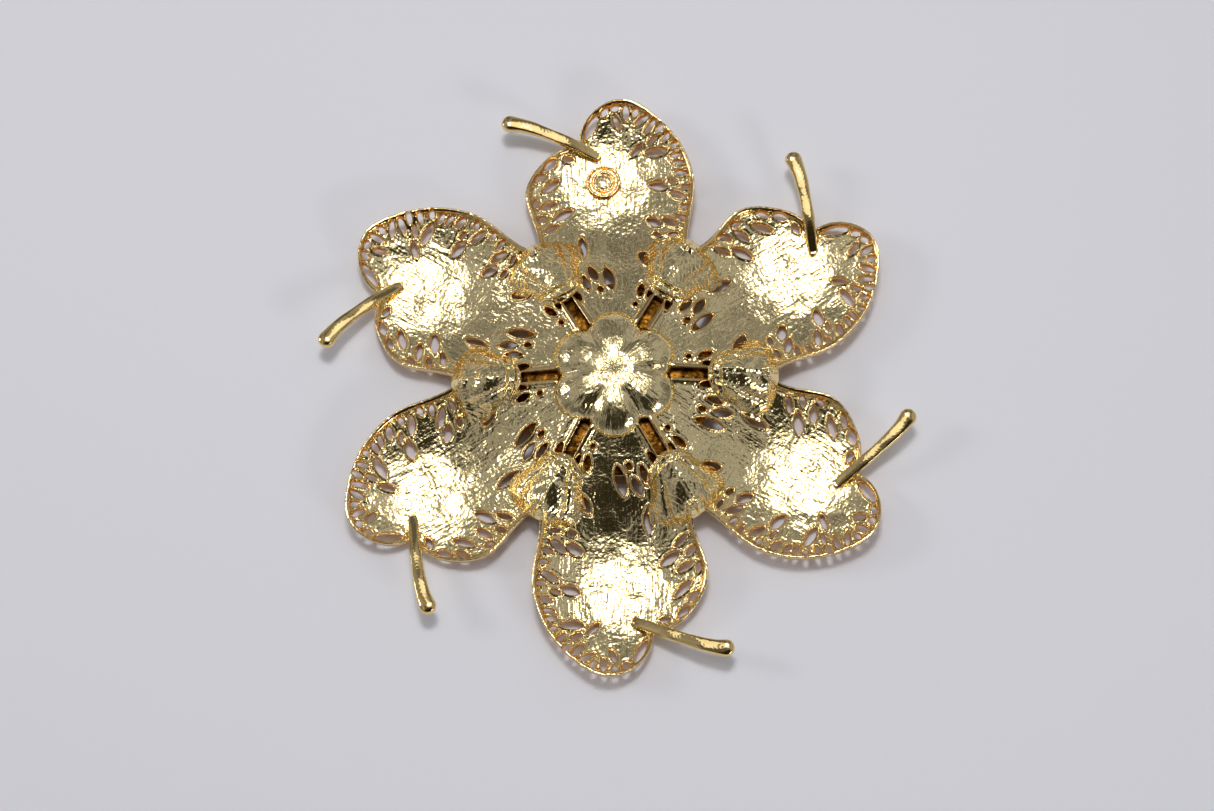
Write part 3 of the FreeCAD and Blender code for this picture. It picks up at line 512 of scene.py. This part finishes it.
def make_leaf(sizes, material):
    """leaf_1's casting: rounded edges, wire-like lips round the slits, a rippled field.

    slit and edge are distances in plan from the nearest slit's wall and from the outline. The
    rim is a bead along the outline with a groove inside it, and the lips keep clear of it.
    """
    rim_width = 0.7
    leaf = node_copy("leaf_1", "leaf_cast_1")
    slits, outline = wall_lines(leaf.data)
    cast(leaf, sizes.leaf_detail, 3)
    mesh = leaf.data
    places, normals = read_points(mesh)
    places[:, 2] += neck_slope(places)
    slit = plan_distance(places, slits)
    edge = plan_distance(places, outline)
    top = np.clip(normals[:, 2] * 2, 0, 1)
    width = sizes.lip_width / MM
    lip = ridge(slit, 0.35 * width, 0.38 * width)
    hollow = ridge(slit, 1.25 * width, 0.4 * width)
    groove = ridge(edge, 1.15, 0.25)
    clear = ramp(edge, rim_width, 0.4)
    rim = np.clip(1 - ((edge - 0.4) / 0.45) ** 2, 0, 1)
    raised = sizes.lip_height / MM * (lip - 0.3 * hollow) * clear - 0.12 * groove + 0.14 * rim
    waves = sizes.dent_depth / MM * ripple(places, 3.1, 0.4)
    field = edge > 0.9
    places[:, 2] = np.maximum(places[:, 2] + top * raised + field * waves, 0.0)
    bead = 1 - ramp(edge, rim_width, 0.25)
    bright = np.clip(np.maximum(lip * top, bead), 0, 1)
    # The deep gold share: slit walls and faces that look down take it as painted bounce light,
    # gold reflected on gold, and the rim bead and lips take a little as a warmer tone.
    in_slit = np.clip(1 - slit / 0.2, 0, 1) * (1 - top)
    below = np.clip(-normals[:, 2], 0, 1) * 0.5
    write_points(mesh, places)
    store(mesh, "grain", places)
    store(mesh, "bright", bright)
    store(mesh, "bounce_and_warmth", np.clip(in_slit + below + 0.25 * bead + 0.5 * lip * top, 0, 1))
    settle(leaf, FLOWER, "gilt_brushed", material, "leaf_1")
    return leaf


# ---------------------------------------------------------------- stems
def make_stem(sizes, material):
    """stem_1's rod: rounded and a little wavy, with its upper side rubbed flat."""
    wave_height, flat_depth, flat_edge = 0.06, 0.75, 0.55
    stem = node_copy("stem_1", "stem_rod_1")
    cast(stem, sizes.small_detail, 6)
    places, normals = read_points(stem.data)
    places += normals * (wave_height * ripple(places, 4.0, 1.1))[:, None]
    places[:, 2] -= flat_depth * np.clip(normals[:, 2] - flat_edge, 0, None)
    write_points(stem.data, places)
    apply_modifier(stem, "SMOOTH", factor=0.5, iterations=3)
    settle(stem, FLOWER, "gilt_polished", material, "stem_1")
    return stem


# ---------------------------------------------------------------- bridges
BRIDGE_START = 14.2         # from the flower's axis to a bridge's inner lip
BRIDGE_LENGTH = 11.2        # from that lip to its outer end
BRIDGE_WALL = 0.55          # thickness of its sheet


def seat_tree():
    """Upper faces of leaf_1 and its clockwise neighbour in plan, and their heights."""
    coarse, upward = 0.3, 0.6
    leaf = node_copy("leaf_1", "seat")
    apply_modifier(leaf, "REMESH", mode="VOXEL", voxel_size=coarse)
    places, normals = read_points(leaf.data)
    places[:, 2] += neck_slope(places)
    places = places[normals[:, 2] > upward]
    bpy.data.objects.remove(leaf)
    turned = places @ np.array(Matrix.Rotation(-SECTOR, 3, "Z")).T
    places = np.concatenate([places, turned])
    tree = KDTree(len(places))
    for index, (x, y) in enumerate(places[:, :2]):
        tree.insert((x, y, 0), index)
    tree.balance()
    return tree, places[:, 2]


def seat_heights(tree, heights, plan):
    """Mean height of the seat's nearest points under each place in plan."""
    result = np.empty(len(plan))
    for index, (x, y) in enumerate(plan):
        near = [found[1] for found in tree.find_n((x, y, 0), 6)]
        result[index] = heights[near].mean()
    return result


def bridge_outline(across, along):
    """A bridge's plan: how far out each point runs, and its side of the middle line.

    It flares from its narrow inner lip, and is tucked in again at its outer end. Both ends
    are bowed.
    """
    narrow, wide, tucked = 4.3, 6.7, 1.9
    flare = ramp(along, 0.12, 0.45)
    tuck = ramp(along, 0.72, 0.28)
    half = narrow + (wide - narrow) * flare ** 2 * (3 - 2 * flare) - tucked * tuck ** 2
    half += 0.25 * np.sin(along * 9 + 0.6) * (1 - tuck)
    bow = 2.4 * across ** 2 * (1 - along) ** 2 - 1.3 * across ** 2 * along ** 3
    return BRIDGE_START + along * BRIDGE_LENGTH + bow, across * half


def bridge_lift(places, across, along):
    """A bridge's height over the leaves, and a share that is 1 on its field and 0 at its border.

    Its rounded crown sinks outwards. Two steps make the lip at its inner end, and two feet
    swell at its outer corners. Two folds run out and apart, and its skin is hammered.
    """
    rise, sunk = 2.1, 0.55
    border = (1 - np.abs(across) ** 3) * ramp(along, 0, 0.04) ** 0.5
    border *= ramp(1 - along, 0, 0.16) ** 0.5
    slope = 1 - sunk * ramp(along, 0.35, 0.65) ** 1.5
    crown = (1 - across ** 2) ** 0.8
    steps = 0.5 * (np.tanh((along - 0.08) * 90) + np.tanh((along - 0.19) * 80)) - 1.0
    feet = ridge(along, 0.86, 0.09) * ridge(np.abs(across), 0.62, 0.17)
    folds = ridge(np.abs(across) - 0.30, 0.35 * along, 0.07) * (along > 0.1)
    lift = rise * crown * slope + 0.3 * border + 0.95 * steps * crown + 0.5 * feet * border
    facets = np.tanh(3 * ripple(places, 3.4, 2.0))
    lift += (0.16 * facets - 0.45 * folds) * border
    return lift, border


def make_bridge(material):
    """bridge_1's pad: a saddle folded over the joint, with a stepped lip at its inner end.

    It is a sheet laid over both leaves. along runs out from the lip, 0 to 1, and across is
    -1 to 1.
    """
    bearing = SECTOR / 2
    bpy.ops.object.select_all(action="DESELECT")
    bpy.ops.mesh.primitive_grid_add(x_subdivisions=130, y_subdivisions=130, size=2)
    bridge = bpy.context.object
    bridge.name = "bridge_pad_1"
    places = read_points(bridge.data)[0]
    across, along = places[:, 0].copy(), (places[:, 1] + 1) / 2
    run, side = bridge_outline(across, along)
    places[:, 0] = run * math.sin(bearing) + side * math.cos(bearing)
    places[:, 1] = run * math.cos(bearing) - side * math.sin(bearing)
    seat = seat_heights(*seat_tree(), places[:, :2])
    lift, border = bridge_lift(places, across, along)
    places[:, 2] = seat + np.maximum(lift, 0.0) * border - 0.3 * (1 - border) ** 2
    write_points(bridge.data, places)
    apply_modifier(bridge, "SMOOTH", factor=0.5, iterations=7)
    apply_modifier(bridge, "SOLIDIFY", thickness=BRIDGE_WALL, offset=-1.0)
    places, normals = read_points(bridge.data)
    reach = places[:, 0] * math.sin(bearing) + places[:, 1] * math.cos(bearing)
    lip = ridge(reach - BRIDGE_START, 0.75, 0.5)
    store(bridge.data, "grain", places)
    store(bridge.data, "bright", 0.3 + 0.5 * lip)
    # Faces that look down take deep gold: painted bounce light under the pad.
    store(bridge.data, "bounce_and_warmth", np.clip(-normals[:, 2], 0, 0.6))
    settle(bridge, FLOWER, "gilt_hammered", material, "bridge_1")
    return bridge


# ---------------------------------------------------------------- dome
def make_dome(sizes, material):
    """The six-lobed dome: a broad crown, cushion lobes with soft creases between them.

    Each lobe's edge is a circle of radius lobe, with its middle spread away from the axis.
    share is 0 at the crown and 1 at that edge. The grain runs out from the crown.
    """
    spread, lobe = 5.6, 4.6
    crease_depth, crease_width = 0.55, 0.85
    least_height = 0.15
    dome = node_copy("centre_dome", "dome_cast")
    cast(dome, sizes.small_detail, 4)
    places, normals = read_points(dome.data)
    base = places[:, 2].min()
    height = places[:, 2].max() - base
    radius = np.hypot(places[:, 0], places[:, 1])
    angle = np.arctan2(places[:, 0], places[:, 1])
    off = (angle + SECTOR / 2) % SECTOR - SECTOR / 2
    edge = spread * np.cos(off) + np.sqrt(lobe ** 2 - (spread * np.sin(off)) ** 2)
    share = np.clip(radius / edge, 0, 1)
    crease = ridge((SECTOR / 2 - np.abs(off)) * radius, 0, crease_width)
    crease *= ramp(radius, 3.0, 4.0) * (1 - share ** 6)
    cushion = height * (1 - share ** 3.2) ** 0.6 - crease_depth * crease
    cushion += 0.06 * ripple(places, 3.3, 0.9) * (1 - share ** 6)
    outside = (normals[:, 2] > 0.1) & (places[:, 2] > base + least_height)
    places[outside, 2] = base + np.clip(cushion[outside], least_height, height)
    write_points(dome.data, places)
    apply_modifier(dome, "SMOOTH", factor=0.5, iterations=5)
    places, normals = read_points(dome.data)
    radius = np.hypot(places[:, 0], places[:, 1])
    angle = np.arctan2(places[:, 1], places[:, 0])
    fan = np.stack([np.cos(angle) * 7, radius * 0.6, np.sin(angle) * 7], axis=1)
    store(dome.data, "grain", fan)
    store(dome.data, "bright", np.zeros(len(places)))
    # Steep and downward faces take deep gold: painted bounce light on the lobes' sides.
    store(dome.data, "bounce_and_warmth", np.clip(0.4 - normals[:, 2], 0, 1))
    settle(dome, FLOWER, "gilt_hammered", material, "centre_dome")


# ---------------------------------------------------------------- fittings
def make_badge(material):
    """The round pad on leaf_1: a raised ring, a bead line inside it and a low middle.

    rings goes inwards from the edge, and gives each step's width and rise.
    """
    rings = ((0.2, 0.3), (0.2, 0.0), (0.2, -0.4), (0.3, 0.0), (0.18, 0.3), (0.2, 0.0),
             (0.18, -0.3), (0.4, 0.2))
    ring_height = rings[0][1]
    low, high = (Vector(corner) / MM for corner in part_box("leaf_badge"))
    middle = (low + high) / 2
    badge = disc("badge_disc", (high.x - low.x) / 2, middle.xy, low.z, high.z - ring_height)
    inset_faces(badge, lambda normal: normal.z > FLAT_FACE, rings)
    apply_modifier(badge, "BEVEL", width=0.09, segments=3, limit_method="ANGLE")
    places, normals = read_points(badge.data)
    store(badge.data, "grain", places)
    store(badge.data, "bright", 0.2 * (places[:, 2] > high.z - 0.05))
    # The rings' sloping faces take deep gold: painted reflection, amber lines along the rings.
    store(badge.data, "bounce_and_warmth", np.clip(1.6 - 1.6 * normals[:, 2], 0, 1))
    settle(badge, FLOWER, "gilt_polished", material, "leaf_badge")


def make_hub(shaded, open_gilt):
    """The plate under the necks, with a skirt that follows them down as far as the slots go.

    Its upper side is the shaded gilt, painted shade for the hollow under the leaves, and its back
    and edge are the open gilt.
    """
    skirt, drop, rings, ring_width = 15.4, 1.2, 5, 1.3
    upper = 0.3
    low, high = (Vector(corner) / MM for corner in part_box("hub_plate"))
    hub = disc("hub_dish", skirt, (0, 0), low.z, high.z)
    inset_faces(hub, lambda normal: abs(normal.z) > FLAT_FACE, [(ring_width, 0.0)] * rings)
    places = read_points(hub.data)[0]
    reach = np.hypot(places[:, 0], places[:, 1])
    flat = skirt - ring_width * rings
    places[:, 2] -= drop * (np.clip(reach - flat, 0, None) / (skirt - flat)) ** 2
    write_points(hub.data, places)
    store(hub.data, "grain", places)
    store(hub.data, "bounce_and_warmth", np.full(len(places), 0.5))
    settle(hub, FLOWER, "gilt_brushed", shaded, "hub_plate")
    hub.data.materials.append(open_gilt)
    # Faces that look up get the painted shade, and the rest the open gilt.
    for face in hub.data.polygons:
        face.material_index = int(face.normal.z < upper)
    only(hub)
    bpy.ops.object.shade_smooth_by_angle(angle=math.radians(15))


def make_fitting(node, piece, body, sizes, material):
    """One fitting of the back: its CAD shape with the sharp edges worn off."""
    fitting = node_copy(node, piece)
    cast(fitting, sizes.small_detail, 2)
    settle(fitting, body, "gilt_polished", material, node)


# ---------------------------------------------------------------- stage
def make_floor(sizes):
    """A wide square of pale paper under the brooch."""
    bpy.ops.object.select_all(action="DESELECT")
    bpy.ops.mesh.primitive_plane_add(size=sizes.floor_width, location=(0, 0, 0))
    floor = bpy.context.object
    floor.name = "floor"
    floor.data.materials.append(material_of(floor_paper, sizes))


def softbox(name, place, width, depth, power):
    """A soft rectangular lamp that shines at the flower, in millimetres and watts."""
    bpy.ops.object.light_add(type="AREA", location=[v * MM for v in place])
    lamp = bpy.context.object
    lamp.name = name
    lamp.data.shape = "RECTANGLE"
    lamp.data.size = width * MM
    lamp.data.size_y = depth * MM
    lamp.data.energy = power
    lamp.rotation_euler = (-lamp.location).to_track_quat("-Z", "Y").to_euler()


def make_world(scene):
    """A dim studio room: pale grey with soft darker patches, and dark above the near side."""
    dark_side = (0.10, -0.64, 0.76)
    world = bpy.data.worlds.new("studio")
    scene.world = world
    world.use_nodes = True
    tree = world.node_tree
    tree.nodes.clear()
    heading = add_node(tree, "TexCoord").outputs["Generated"]
    towards = add_node(tree, "VectorMath", {1: dark_side}, {0: heading}, operation="DOT_PRODUCT")
    shade = remap(tree, towards.outputs["Value"], (0.74, 0.90), interpolation_type="SMOOTHSTEP")
    patches = add_node(tree, "TexNoise", {"Scale": 2.2, "Detail": 1.0}, {"Vector": heading})
    patch = remap(tree, patches.outputs[0], (0.42, 0.62), (0.0, 0.75))
    dark = add_node(tree, "Math", links={0: shade, 1: patch}, operation="MAXIMUM")
    colour = blend(tree, dark.outputs[0], linear("#CFCFD4"), linear("#353126"))
    background = add_node(tree, "Background", {"Strength": 0.65}, {"Color": colour})
    add_node(tree, "OutputWorld", links={"Surface": background.outputs[0]})


def make_camera(scene, sizes):
    """The camera, high over the flower and a little to its near side."""
    tilt, roll = sizes.camera_tilt, sizes.camera_roll
    target, target_height = Vector((-1.74, -3.16, 0)), 0.9
    up = Vector((0, math.cos(tilt), math.sin(tilt)))
    forward = Vector((0, math.sin(tilt), -math.cos(tilt)))
    right = Vector((1, 0, 0))
    across = math.cos(roll) * right + math.sin(roll) * up
    upright = -math.sin(roll) * right + math.cos(roll) * up
    view = Matrix((across, upright, -forward)).transposed().to_4x4()
    view.translation = target * MM - forward * sizes.camera_distance
    turned = Matrix.Rotation(sizes.camera_turn, 4, "Z") @ view
    turned.translation.z += target_height * MM
    bpy.ops.object.camera_add()
    camera = bpy.context.object
    camera.matrix_world = turned
    camera.data.sensor_width = 36.0
    camera.data.lens = sizes.lens
    camera.data.clip_start = 0.01
    scene.camera = camera


# ---------------------------------------------------------------- operators
class BROOCH_OT_leaves(bpy.types.Operator):
    """Cast the six leaves and give them their satin gilt"""
    bl_idname = "brooch.leaves"
    bl_label = "Leaves"

    def execute(self, context):
        scene = context.scene
        first = make_leaf(scene.brooch_casting, material_of(gilt_satin, scene.brooch_finish))
        ring_copies(first, "leaf", "leaf_cast")
        return {"FINISHED"}


class BROOCH_OT_stems(bpy.types.Operator):
    """Round and polish the six stems"""
    bl_idname = "brooch.stems"
    bl_label = "Stems"

    def execute(self, context):
        scene = context.scene
        first = make_stem(scene.brooch_casting, material_of(gilt_rubbed, scene.brooch_finish))
        ring_copies(first, "stem", "stem_rod")
        return {"FINISHED"}


class BROOCH_OT_bridges(bpy.types.Operator):
    """Hammer the six bridges over the joints"""
    bl_idname = "brooch.bridges"
    bl_label = "Bridges"

    def execute(self, context):
        first = make_bridge(material_of(gilt_satin, context.scene.brooch_finish))
        ring_copies(first, "bridge", "bridge_pad")
        return {"FINISHED"}


class BROOCH_OT_dome(bpy.types.Operator):
    """Cast the dome in the middle"""
    bl_idname = "brooch.dome"
    bl_label = "Dome"

    def execute(self, context):
        scene = context.scene
        make_dome(scene.brooch_casting, material_of(gilt_satin, scene.brooch_finish))
        return {"FINISHED"}


class BROOCH_OT_fittings(bpy.types.Operator):
    """Round and finish the pad, the hub, the bar, the hinge, the pin and the catch"""
    bl_idname = "brooch.fittings"
    bl_label = "Fittings"

    def execute(self, context):
        settings = context.scene.brooch_finish
        satin = material_of(gilt_satin, settings)
        rubbed = material_of(gilt_rubbed, settings)
        make_badge(satin)
        make_hub(material_of(gilt_shaded, settings), satin)
        for node, piece in FITTINGS.items():
            body = CATCH if node == "catch_rotor" else FLOWER
            make_fitting(node, piece, body, context.scene.brooch_casting, rubbed)
        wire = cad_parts["pin_stem"].data
        wire.materials.clear()
        wire.materials.append(material_of(spring_steel, settings))
        return {"FINISHED"}


class BROOCH_OT_stage(bpy.types.Operator):
    """Lay the floor, set the soft lights and place the camera"""
    bl_idname = "brooch.stage"
    bl_label = "Stage"

    def execute(self, context):
        scene = context.scene
        sizes = scene.brooch_stage
        make_floor(sizes)
        make_world(scene)
        for name, (place, width, depth, power) in LAMPS.items():
            softbox(name, place, width, depth, power)
        make_camera(scene, sizes)
        scene.view_settings.view_transform = "Standard"
        return {"FINISHED"}


# ---------------------------------------------------------------- panel and run
OPERATORS = (BROOCH_OT_leaves, BROOCH_OT_stems, BROOCH_OT_bridges, BROOCH_OT_dome,
             BROOCH_OT_fittings, BROOCH_OT_stage)
GROUPS = {"brooch_finish": BroochFinish, "brooch_casting": BroochCasting,
          "brooch_stage": BroochStage}


class BROOCH_PT_panel(bpy.types.Panel):
    """Lists the brooch's pieces and its stage"""
    bl_idname = "BROOCH_PT_panel"
    bl_label = "Flower brooch"
    bl_space_type = "VIEW_3D"
    bl_region_type = "UI"
    bl_category = "Brooch"

    def draw(self, context):
        for operator in OPERATORS:
            self.layout.operator(operator.bl_idname)
        for group, kind in GROUPS.items():
            box = self.layout.box()
            for name in kind.__annotations__:
                box.prop(getattr(context.scene, group), name)


def register():
    """Register the settings, the operators and the panel."""
    for group, kind in GROUPS.items():
        bpy.utils.register_class(kind)
        setattr(bpy.types.Scene, group, PointerProperty(type=kind))
    for item in OPERATORS + (BROOCH_PT_panel,):
        bpy.utils.register_class(item)


def unregister():
    """Undo register."""
    for item in reversed(OPERATORS + (BROOCH_PT_panel,)):
        bpy.utils.unregister_class(item)
    for group, kind in GROUPS.items():
        delattr(bpy.types.Scene, group)
        bpy.utils.unregister_class(kind)


def main():
    """Make every piece and the stage."""
    register()
    bpy.ops.brooch.leaves()
    bpy.ops.brooch.stems()
    bpy.ops.brooch.bridges()
    bpy.ops.brooch.dome()
    bpy.ops.brooch.fittings()
    bpy.ops.brooch.stage()


if __name__ == "__main__":
    main()
